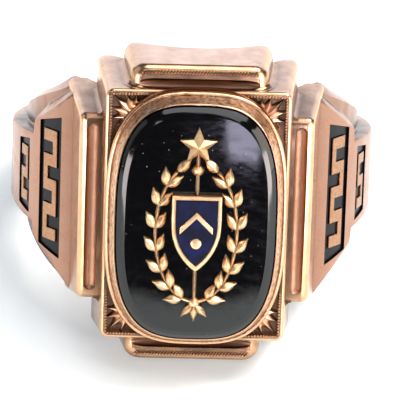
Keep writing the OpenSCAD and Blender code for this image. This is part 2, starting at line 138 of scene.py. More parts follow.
class StoneSizes(bpy.types.PropertyGroup):
    """Sizes of the stone and the bezel that holds it."""

    bezel_w: length("Bezel width", 11.36, "Width of the bezel")
    bezel_h: length("Bezel height", 16.5, "Height of the bezel")
    bezel_crest: length("Bezel edge", 0.66, "How far the bezel's outer edge stands out")
    bezel_lip: length("Bezel lip", 1.5, "How far the bezel's lip stands out")
    lip_w: length("Lip edge", 0.12, "Thickness of the lip's edge")
    stone_w: length("Stone width", 10.0, "Width of the stone inside the lip")
    stone_h: length("Stone height", 15.1, "Height of the stone inside the lip")
    gap: length("Stone gap", 0.04, "Gap between the stone and its seat")
    seat: length("Seat depth", 1.1, "Depth of the seat behind the frame's front")
    table_rise: length("Table rise", 0.55, "How far the table stands in front of the lip")
    crown: length("Crown", 0.16, "How far the table curves down to its edge")


class CrestSizes(bpy.types.PropertyGroup):
    """Sizes of the gold crest on the stone."""

    wreath_w: length("Wreath width", 5.3, "Width of the laurel wreath, over its stems")
    wreath_h: length("Wreath height", 9.2, "Height of the laurel wreath, over its stems")
    wreath_low: length("Wreath drop", 0.4, "How far its middle lies below the stone's middle")
    leaf_t: length("Leaf thickness", 0.42, "Thickness of the wreath's leaves")
    leaf_l: length("Leaf length", 1.25, "Length of each leaf")
    leaf_w: length("Leaf width", 0.46, "Width of each leaf")
    shield_w: length("Shield width", 3.1, "Width of the shield")
    shield_h: length("Shield height", 4.9, "Height of the shield")
    shield_t: length("Shield thickness", 0.6, "Thickness of the shield")
    shield_rim: length("Shield rim", 0.26, "Width of the shield's gold rim")
    field_depth: length("Field depth", 0.3, "Depth of the enamel field")
    star_r: length("Star", 1.2, "Radius of the star's points")
    star_t: length("Star thickness", 0.65, "Thickness of the star")


class Finishes(bpy.types.PropertyGroup):
    """Colours of the metals, the stone, the enamels and the floor."""

    gold: hue("Gold", "#E9BC94", "Worn satin gold of the body")
    # The band's gold is rosier than the head's, and darker as painted shade on the shoulders
    shaded_band_gold: hue("Band gold", "#B38A77", "Rosier, duller gold of the band")
    crest_gold: hue("Crest gold", "#F6D3A6", "Yellower gold of the crest")
    # The tarnish colour is also the painted shade in the corners
    tarnish_and_shade: hue("Tarnish", "#2A160C", "Darkened gold in the recesses")
    onyx: hue("Onyx", "#020203", "The stone")
    black_enamel: hue("Black enamel", "#020204", "Enamel in the shoulder panels")
    blue_enamel: hue("Blue enamel", "#03061E", "Enamel in the shield")
    floor: hue("Floor", "#ECF3F4", "The studio floor")


def in_mm(group):
    """A group's lengths in millimetres and its other values as they are."""
    values = {}
    for key in group.__annotations__:
        is_length = group.bl_rna.properties[key].unit == "LENGTH"
        values[key] = getattr(group, key) / MM if is_length else getattr(group, key)
    return SimpleNamespace(**values)


def body_sizes():
    """The body's sizes, and the planes and radii that follow from them."""
    s = in_mm(bpy.context.scene.ring_body_sizes)
    s.frame_z = s.bore_r + s.head_t
    s.tab_z = s.frame_z - s.tab_back
    s.pilaster_z = s.frame_z - s.pilaster_back
    s.outer_r = s.bore_r + s.side_wall
    s.rim_r = s.bore_r + s.rim_wall
    s.rib_x = s.outer_r * math.sin(s.rib_angle)
    s.rib_z = s.outer_r * math.cos(s.rib_angle)
    s.shoulder_x = 7.73  # where a shoulder starts to taper, just inside its pilaster
    return s


def stone_sizes():
    """The stone's and the bezel's sizes, and their planes."""
    s = in_mm(bpy.context.scene.ring_stone_sizes)
    s.frame_z = body_sizes().frame_z
    s.lip_z = s.frame_z + s.bezel_lip
    s.table_z = s.lip_z + s.table_rise
    return s


# ---- Colours and nodes


def linear(hex_value):
    """An sRGB hex value as a linear colour."""
    parts = [int(hex_value[i : i + 2], 16) / 255 for i in (1, 3, 5)]
    return tuple(c / 12.92 if c <= 0.04045 else ((c + 0.055) / 1.055) ** 2.4 for c in parts) + (1.0,)


def put(tree, node, **links):
    """Links or sets a node's inputs, each by its name or, written as i0, by its place."""
    for name, value in links.items():
        key = name.replace("_", " ")
        socket = node.inputs[int(key[1:]) if key[0] == "i" and key[1:].isdigit() else key]
        if isinstance(value, bpy.types.NodeSocket):
            tree.links.new(value, socket)
        else:
            socket.default_value = value


def add(tree, kind, settings=(), stops=(), **links):
    """Adds a node with its settings, a ramp's two (place, hex or grey) stops and its inputs."""
    node = tree.nodes.new("ShaderNode" + kind)
    for key, value in dict(settings).items():
        setattr(node, key, value)
    for i, (place, tone) in enumerate(stops):
        element = node.color_ramp.elements[i]
        element.position = place
        element.color = linear(tone) if isinstance(tone, str) else (tone, tone, tone, 1)
    put(tree, node, **links)
    return node


def new_finish(name):
    """An empty material with its tree, its shader and the object's own coordinates."""
    material = bpy.data.materials.new(name)
    material.use_nodes = True
    tree = material.node_tree
    shader = tree.nodes["Principled BSDF"]
    coords = add(tree, "TexCoord").outputs["Object"]
    return material, tree, shader, coords


def worn_gold(name, hex_value, dark, grain, relief, smooth, spread, patina_and_shade, reach=1.5, pits=0.0,
              rubbed=None, wear=0.08, open_from=0.42):
    """Cast 10-karat gold, worn to a satin by the finger: soft reflections, fine scratches that
    run every way, and brown darkening. In the corners, within reach in mm, it follows the ambient
    occlusion: partly tarnish left where no cloth reaches, partly painted shade. It also lies as
    tarnish below the rubbed heights in front of the finger's axis, and in a share of the surface's
    pits."""
    material, tree, shader, coords = new_finish(name)
    # Clouds of thin skin oil and wear, about 1.2 mm across
    clouds = add(tree, "TexNoise", Vector=coords, Scale=850.0, Detail=3.0, Roughness=0.6)
    # The grain of the cast and rubbed surface, given in grains a metre
    grains = add(tree, "TexNoise", Vector=coords, Scale=grain, Detail=4.0, Roughness=0.65)
    # Scratches are thin streaks of stretched noise, about 0.05 mm wide
    stretch = add(tree, "Mapping", Vector=coords, Scale=(2600.0, 16000.0, 5200.0),
                  Rotation=(0.3, 0.5, 0.7))
    streaks = add(tree, "TexNoise", Vector=stretch.outputs[0], Scale=1.0, Detail=2.0)
    if rubbed:
        axis = OUT.dot(Vector(BORE["pos_m"]))
        height = add(tree, "VectorMath", {"operation": "DOT_PRODUCT"}, i0=coords, i1=OUT)
        shade = add(tree, "MapRange", Value=height.outputs["Value"], i1=rubbed[0] * MM + axis,
                    i2=rubbed[1] * MM + axis).outputs[0]
    else:
        # Painted shade: the corners darken by their ambient occlusion, partly as tarnish
        corner = add(tree, "AmbientOcclusion", {"samples": 8}, Distance=reach * MM)
        shade = add(tree, "ValToRGB", stops=((open_from, 0.0), (0.98, 1.0)),
                    i0=corner.outputs["AO"]).outputs[0]
    patches = add(tree, "ValToRGB", stops=((0.3, 0.0), (0.7, 1.0)), i0=clouds.outputs[0])
    tint = add(tree, "Mix", {"data_type": "RGBA"}, i0=patches.outputs[0], i6=linear(hex_value),
               i7=linear(mixed(hex_value, "#B47C58", 0.36)))
    corners = add(tree, "MapRange", Value=shade, i3=patina_and_shade, i4=0.0)
    holes = add(tree, "MapRange", Value=grains.outputs[0], i1=0.36, i2=0.56, i3=pits, i4=0.0)
    depth = add(tree, "Math", {"operation": "MAXIMUM"}, i0=corners.outputs[0], i1=holes.outputs[0])
    colour = add(tree, "Mix", {"data_type": "RGBA"}, i0=depth.outputs[0], i6=tint.outputs[2],
                 i7=linear(dark))
    rough = add(tree, "MapRange", Value=clouds.outputs[0], i3=smooth, i4=smooth + spread)
    marks = add(tree, "Math", {"operation": "MULTIPLY_ADD"}, i0=streaks.outputs[0], i1=0.45,
                i2=grains.outputs[0])
    # Years of wear leave the faces faintly uneven, in hollows about 2 mm across
    hollows = add(tree, "TexNoise", Vector=coords, Scale=450.0, Detail=1.0)
    uneven = add(tree, "Bump", Strength=1.0, Distance=wear * MM, Height=hollows.outputs[0])
    bump = add(tree, "Bump", Strength=relief, Distance=0.00003, Height=marks.outputs[0],
               Normal=uneven.outputs[0])
    put(tree, shader, Base_Color=colour.outputs[2], Metallic=1.0, Roughness=rough.outputs[0],
        Normal=bump.outputs[0])
    return material


def mixed(one, other, share):
    """The colour between two sRGB hex values."""
    pairs = [(int(one[i : i + 2], 16), int(other[i : i + 2], 16)) for i in (1, 3, 5)]
    return "#" + "".join(f"{round(a + (b - a) * share):02X}" for a, b in pairs)


def polished_onyx(name, hex_value):
    """Cut and polished black onyx: deep black under a sharp gloss, with fine wear scratches and
    dust that catch the light."""
    material, tree, shader, coords = new_finish(name)
    # Hair scratches under 0.03 mm wide, drawn as coarse as the render can show
    stretch = add(tree, "Mapping", Vector=coords, Scale=(900.0, 5200.0, 900.0),
                  Rotation=(0.2, 0.4, 0.9))
    hairs = add(tree, "TexNoise", Vector=stretch.outputs[0], Scale=1.0, Detail=5.0, Roughness=0.8)
    # Dust lies in specks of 0.05 mm, one to 0.4 mm, in patches about 4 mm across
    dust = add(tree, "TexVoronoi", {"feature": "F1"}, Vector=coords, Scale=2300.0)
    specks = add(tree, "ValToRGB", stops=((0.05, 1.0), (0.1, 0.0)), i0=dust.outputs["Distance"])
    patches = add(tree, "TexNoise", Vector=coords, Scale=260.0, Detail=2.0)
    where = add(tree, "ValToRGB", stops=((0.5, 0.0), (0.68, 1.0)), i0=patches.outputs[0])
    seen = add(tree, "Math", {"operation": "MULTIPLY"}, i0=specks.outputs[0], i1=where.outputs[0])
    colour = add(tree, "Mix", {"data_type": "RGBA"}, i0=seen.outputs[0], i6=linear(hex_value),
                 i7=linear("#8C8C96"))
    rough = add(tree, "MapRange", Value=hairs.outputs[0], i1=0.4, i2=0.8, i3=0.05, i4=0.2)
    bump = add(tree, "Bump", Strength=0.05, Distance=0.00001, Height=hairs.outputs[0])
    put(tree, shader, Base_Color=colour.outputs[2], Roughness=rough.outputs[0], IOR=1.54,
        Normal=bump.outputs[0])
    return material


def fired_enamel(name, hex_value, second):
    """Fired glass enamel, dulled by wear: an opaque colour with clouds and pits from the firing."""
    material, tree, shader, coords = new_finish(name)
    # Clouds about 0.9 mm across and pits of 0.2 mm
    clouds = add(tree, "TexNoise", Vector=coords, Scale=1100.0, Detail=3.0)
    pits = add(tree, "TexNoise", Vector=coords, Scale=5200.0, Detail=2.0)
    patches = add(tree, "ValToRGB", stops=((0.42, 0.0), (0.66, 1.0)), i0=clouds.outputs[0])
    colour = add(tree, "Mix", {"data_type": "RGBA"}, i0=patches.outputs[0], i6=linear(hex_value),
                 i7=linear(second))
    rough = add(tree, "MapRange", Value=pits.outputs[0], i3=0.22, i4=0.42)
    bump = add(tree, "Bump", Strength=0.12, Distance=0.00002, Height=pits.outputs[0])
    put(tree, shader, Base_Color=colour.outputs[2], Roughness=rough.outputs[0], IOR=1.5,
        Specular_IOR_Level=0.25, Normal=bump.outputs[0])
    return material


def finish_of(key):
    """Each of the ring's finishes, made once."""
    c = bpy.context.scene.ring_finishes
    made = bpy.data.materials.get(key)
    if made:
        return made
    low = body_sizes().frame_z - body_sizes().spandrel
    golds = {
        # The head: an even satin, with painted shade browning its wide corners
        "satin_gold": (c.gold, dict(
            grain=9000.0, relief=0.1, smooth=0.15, spread=0.15, patina_and_shade=0.75, reach=4.0,
            open_from=0.66)),
        # The flutes: the dull, pitted skin of the casting, tinted darker as painted shade in the
        # grooves
        "dull_shaded_gold": (mixed(c.gold, "#8E6C66", 0.42), dict(
            grain=5200.0, relief=0.9, smooth=0.36, spread=0.16, patina_and_shade=0.9, reach=0.9, pits=0.3,
            open_from=0.3)),
        # The band: rubbed smooth by the next fingers, rosier, darker than the head as painted shade,
        # and faintly uneven; painted shade browns its wide corners
        "rosy_gold": (c.shaded_band_gold, dict(
            grain=9000.0, relief=0.15, smooth=0.18, spread=0.16, patina_and_shade=0.85, reach=4.5,
            wear=0.16, open_from=0.74)),
        # The bezel's slope: coarse, pitted and pale
        "hammered_gold": (mixed(c.gold, "#FFE2C4", 0.35), dict(
            grain=4200.0, relief=1.6, smooth=0.22, spread=0.2, patina_and_shade=0.5, reach=0.4, pits=0.7)),
        # The grooves: painted shade and dark reflection, brown and violet
        "shaded_groove_gold": (mixed(c.gold, "#4A2E30", 0.6), dict(
            grain=7000.0, relief=0.4, smooth=0.26, spread=0.15, patina_and_shade=0.9, reach=1.2, pits=0.4,
            open_from=0.5)),
        # The frets, beads and cords: darkened all over, brown between them
        "antiqued_gold": (mixed(c.gold, "#7A5240", 0.42), dict(
            grain=7000.0, relief=0.3, smooth=0.2, spread=0.15, patina_and_shade=0.95, reach=0.4, pits=0.35,
            open_from=0.6)),
        # The palmettes: bright on their ridges, nearly black at their feet
        "rubbed_gold": (mixed(c.gold, "#B99C98", 0.35), dict(
            grain=7000.0, relief=0.3, smooth=0.22, spread=0.15, patina_and_shade=0.97,
            rubbed=(low + 0.05, low + 0.3))),
        # The bezel's edge and lip: burnished by the setter
        "bright_gold": (c.gold, dict(
            grain=9000.0, relief=0.1, smooth=0.14, spread=0.12, patina_and_shade=0.6, reach=0.4)),
        # The crest: yellower, stamped and lightly pitted
        "yellow_gold": (c.crest_gold, dict(
            grain=7000.0, relief=0.3, smooth=0.26, spread=0.18, patina_and_shade=0.75, reach=0.25,
            pits=0.2)),
    }
    if key in golds:
        colour, settings = golds[key]
        return worn_gold(key, colour, c.tarnish_and_shade, **settings)
    if key == "polished_onyx":
        return polished_onyx(key, c.onyx)
    if key == "fired_black_enamel":
        return fired_enamel(key, c.black_enamel, "#08070C")
    if key == "fired_blue_enamel":
        return fired_enamel(key, c.blue_enamel, "#0B1040")
    raise ValueError(f"no finish is called {key}")


# ---- Shapes


def loft(bm, rings, capped=True):
    """Joins loops of points, all of the same number, and closes the two ends."""
    loops = []
    for ring in rings:
        verts = [bm.verts.new(p) for p in ring]
        loops.append([bm.edges.new((v, verts[i - 1])) for i, v in enumerate(verts)])
    faces = []
    for one, other in zip(loops, loops[1:]):
        faces += bmesh.ops.bridge_loops(bm, edges=one + other)["faces"]
    if capped:
        for loop in (loops[0], loops[-1]):
            faces += bmesh.ops.edgeloop_fill(bm, edges=loop)["faces"]
    return faces


def tidy(bm):
    """Merges doubles and turns every face outwards."""
    bmesh.ops.remove_doubles(bm, verts=bm.verts, dist=1e-4)
    bmesh.ops.recalc_face_normals(bm, faces=bm.faces)


def round_edges(bm, edges, radius, steps=3):
    """Rounds the given edges of a solid."""
    bmesh.ops.bevel(bm, geom=list(edges), offset=radius, offset_type="OFFSET", segments=steps,
                    profile=0.5, affect="EDGES", clamp_overlap=True, material=-1)


def piece(bm, name, finishes, stands_for=(), crease=CREASE, worn=0.0):
    """Makes a finished piece of a mesh: placed, smoothed, given its finishes and its body, and
    its sharp edges worn round."""
    tidy(bm)
    for face in bm.faces:
        face.smooth = True
    for edge in bm.edges:
        edge.smooth = not (len(edge.link_faces) == 2 and edge.calc_face_angle(0) > crease)
    bm.transform(POSE)
    mesh = bpy.data.meshes.new(name)
    bm.to_mesh(mesh)
    bm.free()
    for key in finishes:
        mesh.materials.append(finish_of(key))
    made = bpy.data.objects.new(name, mesh)
    bpy.context.collection.objects.link(made)
    if worn:
        wear = made.modifiers.new("wear", "BEVEL")
        wear.width = worn * MM
        wear.segments = 2
        wear.limit_method = "ANGLE"
        wear.angle_limit = crease
    even = made.modifiers.new("even", "WEIGHTED_NORMAL")
    even.keep_sharp = True
    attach(made, "root")
    if stands_for:
        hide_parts(*stands_for)
    return made


def join(bm, others, how="UNION"):
    """Adds, cuts or keeps the common part of closed solids, and gives back the result."""
    objects = []
    for i, each in enumerate([bm] + others):
        tidy(each)
        mesh = bpy.data.meshes.new(f"work_{i}")
        each.to_mesh(mesh)
        each.free()
        objects.append(bpy.data.objects.new(f"work_{i}", mesh))
        bpy.context.collection.objects.link(objects[-1])
    base = objects[0]
    for tool in objects[1:]:
        step = base.modifiers.new("join", "BOOLEAN")
        step.operation = how
        step.solver = "EXACT"
        step.object = tool
    graph = bpy.context.evaluated_depsgraph_get()
    done = bmesh.new()
    done.from_mesh(base.evaluated_get(graph).to_mesh())
    for each in objects:
        mesh = each.data
        bpy.data.objects.remove(each)
        bpy.data.meshes.remove(mesh)
    return done


def rectangle(width, height, z):
    """The corners of a rectangle about the face's middle."""
    x, y = width / 2, height / 2
    return [(-x, -y, z), (x, -y, z), (x, y, z), (-x, y, z)]


def oval(width, height, z, steps=OVAL_STEPS, power=3.0):
    """A rectangle rounded to bowed sides, the outline of the stone and of all round it."""
    points = []
    for i in range(steps):
        a = math.tau * i / steps
        c, s = abs(2 * math.cos(a) / width), abs(2 * math.sin(a) / height)
        r = (c**power + s**power) ** (-1 / power)
        points.append((r * math.cos(a), r * math.sin(a), z))
    return points


def half_at(size, front, flare, z):
    """Half a flared block's size, at a height."""
    return size / 2 + (front - z) * math.tan(math.radians(flare))


def pilaster_half(s, z):
    """Half the pilasters' height, at a height."""
    return half_at(s.pilaster_h, s.pilaster_z, PILASTER_FLARE[1], z)


def worn_back(z, front, r):
    """How far an edge rounded by r has drawn back at a height."""
    return r - math.sqrt(r * r - max(z - front + r, 0) ** 2)


def flared(block, side_r, end_r, corner_r, crown=0.0):
    """A block that grows towards the finger, with rounded front and long edges. The front may be
    crowned, so that its ends lie back."""
    width, height, front, back, side_flare, end_flare = block
    soft = max(side_r, end_r)
    levels = [back] + [front - soft + soft * math.sin(math.radians(a)) for a in range(0, 91, 9)]
    rings = []
    for z in levels:
        x = half_at(width, front, side_flare, z) - worn_back(z, front, side_r)
        y = half_at(height, front, end_flare, z) - worn_back(z, front, end_r)
        r = corner_r - min(worn_back(z, front, side_r), worn_back(z, front, end_r), corner_r * 0.6)
        ring = []
        for sx, sy, first in ((1, 1, 0), (-1, 1, 90), (-1, -1, 180), (1, -1, 270)):
            for a in range(first, first + 91, 18):
                c, d = math.cos(math.radians(a)), math.sin(math.radians(a))
                ring.append((sx * (x - r) + r * c, sy * (y - r) + r * d, z))
        rings.append(ring)
    bm = bmesh.new()
    loft(bm, rings)
    if crown:
        for i in range(-11, 12):
            cut = bm.verts[:] + bm.edges[:] + bm.faces[:]
            bmesh.ops.bisect_plane(bm, geom=cut, plane_co=(0, i * height / 24, 0), plane_no=(0, 1, 0))
        for v in bm.verts:
            if v.co.z > front - 2 * soft:
                v.co.z -= crown * (2 * v.co.y / height) ** 2
    return bm


def drum(r, low, high, steps=192):
    """A round bar along the finger."""
    bm = bmesh.new()
    bmesh.ops.create_cone(bm, cap_ends=True, segments=steps, radius1=r, radius2=r, depth=high - low)
    bm.transform(Matrix.Translation((0, 0, (low + high) / 2)))
    bm.transform(Matrix.Rotation(math.radians(-90), 4, "X"))
    return bm


def round_bar(axis, half, end, r, place):
    """A bar of radius r about a place, along x (axis 0) or y (axis 1). Its round ends start at
    half from its middle and are drawn out to a length."""
    bm = bmesh.new()
    bmesh.ops.create_uvsphere(bm, u_segments=24, v_segments=16, radius=r)
    bm.transform(Matrix.Rotation(math.radians(90), 4, "YX"[axis]))
    for v in bm.verts:
        v.co[axis] *= end / r
        v.co[axis] += half if v.co[axis] > 1e-4 else -half if v.co[axis] < -1e-4 else 0
    bm.transform(Matrix.Translation(place))
    return bm


def cove(path, lift, up):
    """A hollow fillet along a path of (x, z, outward x, outward z, radius) points round a block,
    where it stands on a face whose height along the finger is lift(z)."""
    rings = []
    for x, z, out_x, out_z, r in path:
        section = [(-0.2, -0.2), (r, -0.2)]
        turns = [math.pi / 16 * i for i in range(9)]
        section += [(r - r * math.sin(a), r - r * math.cos(a)) for a in turns]
        section.append((-0.2, r))
        rings.append([(x + out_x * d, up * (lift(z) + h), z + out_z * d) for d, h in section])
    bm = bmesh.new()
    loft(bm, rings)
    return bm


def tab_path(block, side_r, r):
    """The foot of a tab, from the back of one side round its rounded front to the other."""
    width, _, front, back, flare, _ = block
    rise = [side_r * math.sin(math.radians(a)) for a in range(0, 89, 8)]
    levels = [back + 0.3] + [front - side_r + up for up in rise]
    half = [(half_at(width, front, flare, z) - worn_back(z, front, side_r), z) for z in levels]
    points = [(-x, z) for x, z in half] + [(x, z) for x, z in reversed(half)]
    path = []
    for i, (x, z) in enumerate(points):
        before, after = points[max(i - 1, 0)], points[min(i + 1, len(points) - 1)]
        along = (Vector(after) - Vector(before)).normalized()
        front_share = min(max((z - front + side_r) / side_r, 0), 1)
        path.append((x, z, -along.y, along.x, r * (1 - 0.45 * front_share)))
    return path


class RING_OT_head(bpy.types.Operator):
    """Make the stepped head: the frame, its tabs, the pilasters with their flutes."""

    bl_idname = "ring.head"
    bl_label = "Head"

    def execute(self, context):
        s = body_sizes()
        frame_block = (s.frame_w, s.frame_h, s.frame_z, FRAME_ROOT, *FRAME_FLARE)
        tab_block = (s.tab_w, s.tab_h, s.tab_z, TAB_ROOT, *TAB_FLARE)
        pilaster_block = (s.pilaster_w, s.pilaster_h, s.pilaster_z, PILASTER_ROOT, *PILASTER_FLARE)
        tab_edge, tab_cove, side_cove = 0.7, 0.42, 0.34
        parts = [
            flared(tab_block, tab_edge, 0.4, 0.9),
            flared(pilaster_block, 0.45, 0.3, 0.4, crown=0.2),
        ]
        for up in (-1, 1):
            foot = tab_path(tab_block, tab_edge, tab_cove)
            parts.append(cove(foot, lambda z: half_at(s.frame_h, s.frame_z, FRAME_FLARE[1], z), up))
            for side in (-1, 1):
                foot = [
                    (side * half_at(s.frame_w, s.frame_z, FRAME_FLARE[0], z), z, side, 0, side_cove)
                    for z in (COVE_ROOT, s.pilaster_z - 0.26)
                ]
                parts.append(cove(foot, lambda z: pilaster_half(s, z), up))
        head = join(flared(frame_block, 0.16, 0.16, 0.5), parts)
        cutters = [drum(s.bore_r, -20, 20)]
        # The corner panels
        pocket = bmesh.new()
        inner = rectangle(s.frame_w - 2 * s.frame_rim, s.frame_h - 2 * s.frame_rim, 0)
        floor = s.frame_z - s.spandrel
        loft(pocket, [[(x, y, z + h) for x, y, z in inner] for h in (floor, s.frame_z + PAST)])
        cutters.append(pocket)
        # The shallow grooves along the tabs' fronts, which taper out at their ends
        groove_y, groove_r, groove_end = s.frame_h / 2 + 0.36, 0.34, 1.3
        half = s.tab_w / 2 - 0.35 - groove_end
        for up in (-1, 1):
            place = (0, up * groove_y, s.tab_z + 0.1)
            cutters.append(round_bar(0, half, groove_end, groove_r, place))
        # The flutes, round-ended
        flute_x, half = (s.frame_w + s.pilaster_w) / 4, s.pilaster_h * 0.46 - s.flute_r
        for side in (-1, 1):
            place = (side * flute_x, 0, s.pilaster_z)
            cutters.append(round_bar(1, half, s.flute_r, s.flute_r, place))
        head = join(head, cutters, "DIFFERENCE")
        # The flutes keep the dull skin of the casting with painted shade, and the grooves are painted
        # dark as shade and reflection
        for face in head.faces:
            x, y, z = face.calc_center_median()
            in_flute = abs(abs(x) - flute_x) < s.flute_r and s.pilaster_z - 0.6 < z < s.pilaster_z
            in_groove = abs(abs(y) - groove_y) < groove_r and abs(x) < s.tab_w / 2 - 0.45
            if in_groove and s.tab_z - groove_r < z < s.tab_z - 0.01:
                face.material_index = 2
            elif in_flute and (face.normal.z < 0.97 or z < s.pilaster_z - 0.3):
                face.material_index = 1
            else:
                face.material_index = 0
        finishes = ["satin_gold", "dull_shaded_gold", "shaded_groove_gold"]
        piece(head, "head", finishes, ["ring_body"], worn=0.08)
        return {"FINISHED"}


def band_half(s, angle, r, rim):
    """Half the band's width at an angle from the face and a radius, at its outer side or its
    inner rim."""
    turned = min(angle, math.tau - angle)
    x, z = abs(r * math.sin(angle)), r * math.cos(angle)
    down = min(max((s.rib_z - z) / (s.rib_z + s.bore_r / 2), 0), 1)
    shank = s.side_w / 2 + (s.back_w - s.side_w) / 2 * down
    near = s.shoulder_w / 2 + (s.rim_step if rim else 0.0)
    near = min(near, pilaster_half(s, z) - 0.05)
    fall = (s.shoulder_w - s.rib_w) / 2 / (s.rib_x - s.shoulder_x)
    shoulder = near - fall * max(x - s.shoulder_x, 0)
    if not rim:
        return shoulder if turned <= s.rib_angle else shank
    if z > 0:
        side = s.rim_side_w / 2 + (near - s.rim_side_w / 2) * min(z / s.rib_z, 1)
        # Worn to an even slope where the rim runs out of the shoulder
        slope = s.rim_side_w / 2 + RIM_SLOPE * (math.pi / 2 - turned)
        return max(min(side, shoulder), min(slope, near), shank)
    low = -s.bore_r / 3
    return max(s.rim_side_w / 2 + (s.back_w - s.rim_side_w) / 2 * min(z / low, 1), shank)


def band_ring(s, angle):
    """The band's cross-section at an angle from the face: bore, rim, groove and outer side."""
    out = Vector((math.sin(angle), math.cos(angle)))
    shift = s.side_wall - s.back_wall
    outer = shift * out.y + math.sqrt(s.outer_r**2 - (shift * out.x) ** 2)
    outer = min(outer, s.outer_r)
    soft = 0.12
    foot = band_half(s, angle, s.rim_r, False)
    inner = max(band_half(s, angle, s.bore_r, True), foot)
    lip = max(band_half(s, angle, s.rim_r, True), foot)
    upper = [
        (s.bore_r, inner - soft), (s.bore_r + soft * 0.3, inner - soft * 0.3), (s.bore_r + soft, inner),
        (s.rim_r - soft, lip), (s.rim_r - soft * 0.3, lip - soft * 0.3 * (lip > foot)),
        (s.rim_r, max(lip - soft, foot)), (s.rim_r + 0.02, foot + min(soft, (lip - foot) * 0.5)),
    ]
    upper += [
        (r, band_half(s, angle, r, False) - worn)
        for r, worn in ((s.rim_r + 0.1, 0), (outer - 0.2, 0), (outer - 0.06, 0.06), (outer, 0.2))
    ]
    profile = upper + [(r, -w) for r, w in reversed(upper)]
    return [(r * out.x, w, r * out.y) for r, w in profile]


def each_panel(p):
    """Each shoulder panel's side, width, height, angle from the face, and its fret's bars."""
    for side in (1, -1):
        yield side, p.near_w, p.near_h, p.near_angle, 5
        yield side, p.far_w, p.far_h, p.far_angle, 3


def to_shoulder(bm, angle, side):
    """Turns what was made on the face round the finger, to one side."""
    bm.transform(Matrix.Rotation(angle, 4, "Y"))
    if side < 0:
        bmesh.ops.scale(bm, vec=(-1, 1, 1), verts=bm.verts)


def panel_cutter(s, width, height, depth):
    """The room of a shoulder panel outside its floor, made on the face."""
    bm = bmesh.new()
    x, near, far = width / 2, height / 2, height * PANEL_TAPER / 2
    low, high = s.outer_r - depth, s.outer_r + PAST
    # The floor follows the band, so the cutter is made of strips across
    columns = 8
    rings = []
    for i in range(columns + 1):
        px = -x + 2 * x * i / columns
        h = near + (far - near) * i / columns
        floor = math.sqrt(low**2 - px**2)
        rings.append([(px, -h, floor), (px, h, floor), (px, h, high), (px, -h, high)])
    loft(bm, rings)
    return bm


class RING_OT_band(bpy.types.Operator):
    """Make the band: the shoulders with their sunk panels, and the shank."""

    bl_idname = "ring.band"
    bl_label = "Band"

    def execute(self, context):
        s = body_sizes()
        p = in_mm(context.scene.ring_panel_sizes)
        # Stops round the finger, from pilaster to pilaster, and close on both sides of each rib
        start, end = math.radians(40), math.radians(320)
        rib = s.rib_angle
        stops = {start + (end - start) * i / 112 for i in range(113)}
        stops |= {rib - 1e-4, rib + 0.012, math.tau - rib + 1e-4, math.tau - rib - 0.012}
        bm = bmesh.new()
        loft(bm, [band_ring(s, a) for a in sorted(stops)])
        cutters = []
        for side, width, height, angle, _ in each_panel(p):
            cutters.append(panel_cutter(s, width, height, p.depth))
            to_shoulder(cutters[-1], angle, side)
        bm = join(bm, cutters, "DIFFERENCE")
        piece(bm, "band", ["rosy_gold"], ["ring_body"])
        return {"FINISHED"}


class RING_OT_bezel(bpy.types.Operator):
    """Make the bezel: a bright outer edge, a hammered slope and a thin bright lip."""

    bl_idname = "ring.bezel"
    bl_label = "Bezel"

    def execute(self, context):
        s = stone_sizes()
        run_x = (s.bezel_w - s.stone_w) / 2
        run_y = (s.bezel_h - s.stone_h) / 2
        edge_z = s.frame_z + s.bezel_crest
        # Share of the way in to the stone, and height
        profile = [
            (0.0, s.frame_z - 0.5), (0.0, edge_z - 0.22), (0.03, edge_z - 0.12),
            (0.08, edge_z - 0.04), (0.16, edge_z + 0.02), (0.25, edge_z + 0.04),
            (0.33, edge_z + 0.03), (0.38, edge_z + 0.01), (0.42, edge_z + 0.07),
            (0.49, edge_z + 0.2), (0.56, edge_z + 0.33), (0.63, edge_z + 0.46),
            (0.71, edge_z + 0.59), (0.78, edge_z + 0.71), (0.82, s.lip_z - 0.04),
            (0.87, s.lip_z - 0.004), (0.94, s.lip_z), (0.98, s.lip_z - 0.03), (1.0, s.lip_z - 0.1),
            (1.0, s.lip_z - 0.5),
        ]
        bm = bmesh.new()
        rings = [oval(s.bezel_w - 2 * run_x * k, s.bezel_h - 2 * run_y * k, z) for k, z in profile]
        loft(bm, rings + [rings[0]], capped=False)
        tidy(bm)
        nick_x, nick_y, nick_r = -0.9, 8.0, 0.28
        for v in bm.verts:
            if edge_z + 0.05 < v.co.z < s.lip_z - 0.06:
                v.co += v.normal * 0.03 * noise.noise(v.co * 5.5)
            # The small nick in the outer edge
            d = math.hypot(v.co.x - nick_x, v.co.y - nick_y)
            if d < nick_r and v.co.z > edge_z - 0.3:
                v.co.z -= 0.1 * (1 - d / nick_r)
        for face in bm.faces:
            on_slope = edge_z + 0.035 < face.calc_center_median().z < s.lip_z - 0.08
            face.material_index = 1 if on_slope and face.normal.z > 0.2 else 0
        piece(bm, "bezel", ["bright_gold", "hammered_gold"], ["ring_body"])
        return {"FINISHED"}


